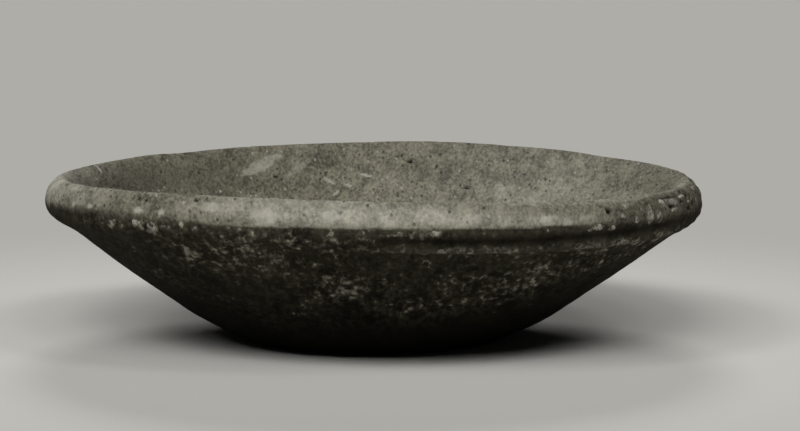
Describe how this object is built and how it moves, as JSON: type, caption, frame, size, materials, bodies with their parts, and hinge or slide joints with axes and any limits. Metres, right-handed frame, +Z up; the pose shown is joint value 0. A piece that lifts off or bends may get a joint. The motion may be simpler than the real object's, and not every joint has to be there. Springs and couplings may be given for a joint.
{
  "type": "shallow bowl",
  "caption": "Shallow round fired-clay bowl with a flat base, a straight flaring wall and a heavy rolled rim, for serving or holding food.",
  "frame": {"origin": "centre of the flat underside, on the ground", "axes": "+Z up through the middle of the mouth, -Y towards the front of the bowl, +X to its right"},
  "size_m": [0.3, 0.3, 0.0782],
  "materials": {
    "floor_clay": "worn unglazed clay, matt and granular",
    "wall_clay": "unglazed clay, smoked dark outside, with pale crust flecks",
    "rim_clay": "unglazed clay rubbed pale, with small pits"
  },
  "bodies": {
    "root": {"floor_slab": "floor_clay", "wall": "wall_clay", "rim_roll": "rim_clay"}
  },
  "joints": []
}
